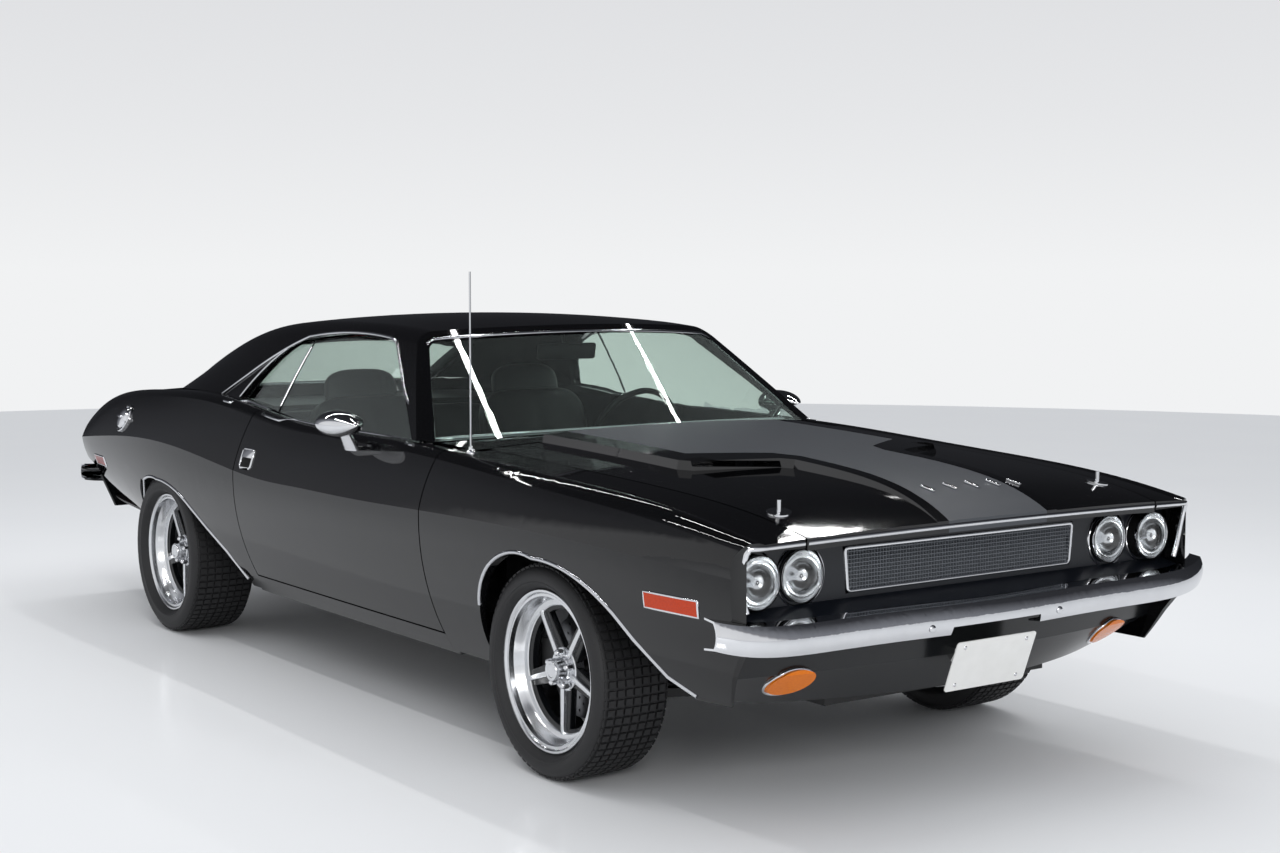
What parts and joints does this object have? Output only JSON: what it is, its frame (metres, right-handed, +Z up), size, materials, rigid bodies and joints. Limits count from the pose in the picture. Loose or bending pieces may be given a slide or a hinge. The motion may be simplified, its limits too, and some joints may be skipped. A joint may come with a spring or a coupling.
{
  "type": "two-door hardtop muscle car",
  "caption": "Low two-door hardtop with a long ribbed hood, recessed lamp panel, deep-dish wheels, opening doors, hood and trunk lid, steering and free wheels.",
  "frame": {"origin": "on the ground under the middle of the car's length and width", "axes": "-Y is the front, +Z is up, the car's left (driver's) side is at +X"},
  "size_m": [2.0244, 4.8591, 1.4559],
  "materials": {
    "paint": "gloss",
    "glass": "gloss",
    "lamp_glass": "gloss",
    "amber_lens": "gloss",
    "marker_lens": "gloss",
    "red_lens": "gloss",
    "chrome": "polished",
    "bright_steel": "polished",
    "dark_panel": "satin",
    "mesh": "satin",
    "plate_white": "gloss",
    "chassis_black": "satin",
    "cast": "satin",
    "bare_steel": "satin",
    "aluminium": "satin",
    "interior": "matte",
    "seat_vinyl": "satin",
    "rubber": "matte",
    "polished": "polished"
  },
  "bodies": {
    "body_shell": {"fenders": "paint", "cowl": "paint", "rockers": "paint", "roof": "paint", "windscreen": "glass", "rear_window": "glass", "quarters": "paint", "quarter_glass": "glass", "nose_panel": "dark_panel", "headlamps": "lamp_glass", "grille": "mesh", "bumper_front": "chrome", "bumper_rear": "chrome", "valance_front": "dark_panel", "parking_lamps": "amber_lens", "plate_front": "plate_white", "tail_panel": "dark_panel", "tail_lamps": "red_lens", "valance_rear": "dark_panel", "underbody": "chassis_black", "firewall": "chassis_black", "trunk_well": "chassis_black", "frame_rails": "chassis_black", "aprons": "chassis_black", "engine_block": "cast", "radiator": "aluminium", "propshaft": "chassis_black", "rear_axle": "chassis_black", "fuel_tank": "bare_steel", "exhaust": "bare_steel", "control_arms": "chassis_black", "dashboard": "interior", "front_seats": "seat_vinyl", "rear_seat": "seat_vinyl", "console": "interior", "antenna": "bright_steel", "marker_lamps": "marker_lens", "fuel_cap": "chrome"},
    "door_right": {"door_right": "paint", "door_glass_right": "glass", "mirror_right": "chrome"},
    "door_left": {"door_left": "paint", "door_glass_left": "glass", "mirror_left": "chrome"},
    "hood": {"hood": "paint", "hood_pins": "chrome"},
    "trunk_lid": {"trunk_lid": "paint"},
    "knuckle_right": {"knuckle_right": "cast"},
    "knuckle_left": {"knuckle_left": "cast"},
    "wheel_front_right": {"tyre_front_right": "rubber", "rim_front_right": "polished", "brake_disc_front_right": "bare_steel"},
    "wheel_front_left": {"tyre_front_left": "rubber", "rim_front_left": "polished", "brake_disc_front_left": "bare_steel"},
    "wheel_rear_right": {"tyre_rear_right": "rubber", "rim_rear_right": "polished"},
    "wheel_rear_left": {"tyre_rear_left": "rubber", "rim_rear_left": "polished"},
    "steering_wheel": {"steering_wheel": "interior"}
  },
  "joints": [
    {"name": "door_right_hinge", "type": "hinge", "parent": "body_shell", "child": "door_right", "pos_m": [-0.938, -0.878, 0.6], "axis": [0, 0, 1], "range_deg": [0, 68]},
    {"name": "door_left_hinge", "type": "hinge", "parent": "body_shell", "child": "door_left", "pos_m": [0.938, -0.878, 0.6], "axis": [0, 0, -1], "range_deg": [0, 68]},
    {"name": "hood_hinge", "type": "hinge", "parent": "body_shell", "child": "hood", "pos_m": [0, -1.166, 0.886], "axis": [-1, 0, 0], "range_deg": [0, 52]},
    {"name": "trunk_hinge", "type": "hinge", "parent": "body_shell", "child": "trunk_lid", "pos_m": [0, 2.012, 0.911], "axis": [1, 0, 0], "range_deg": [0, 72]},
    {"name": "steer_right", "type": "hinge", "parent": "body_shell", "child": "knuckle_right", "pos_m": [-0.658, -1.49, 0.314], "axis": [0, 0, 1], "range_deg": [-33, 33]},
    {"name": "steer_left", "type": "hinge", "parent": "body_shell", "child": "knuckle_left", "pos_m": [0.658, -1.49, 0.314], "axis": [0, 0, 1], "range_deg": [-33, 33]},
    {"name": "roll_front_right", "type": "hinge", "parent": "knuckle_right", "child": "wheel_front_right", "pos_m": [-0.758, -1.49, 0.314], "axis": [1, 0, 0], "continuous": true},
    {"name": "roll_front_left", "type": "hinge", "parent": "knuckle_left", "child": "wheel_front_left", "pos_m": [0.758, -1.49, 0.314], "axis": [1, 0, 0], "continuous": true},
    {"name": "roll_rear_right", "type": "hinge", "parent": "body_shell", "child": "wheel_rear_right", "pos_m": [-0.771, 1.304, 0.322], "axis": [1, 0, 0], "continuous": true},
    {"name": "roll_rear_left", "type": "hinge", "parent": "body_shell", "child": "wheel_rear_left", "pos_m": [0.771, 1.304, 0.322], "axis": [1, 0, 0], "continuous": true},
    {"name": "steering_column", "type": "hinge", "parent": "body_shell", "child": "steering_wheel", "pos_m": [0.37, -0.19, 0.838], "axis": [0, 0.9272, 0.3746], "range_deg": [-478.5, 478.5]}
  ],
  "couplings": [
    {"joint": "steer_left", "follows": "steer_right", "ratio": 1},
    {"joint": "steering_column", "follows": "steer_right", "ratio": 14.5}
  ]
}
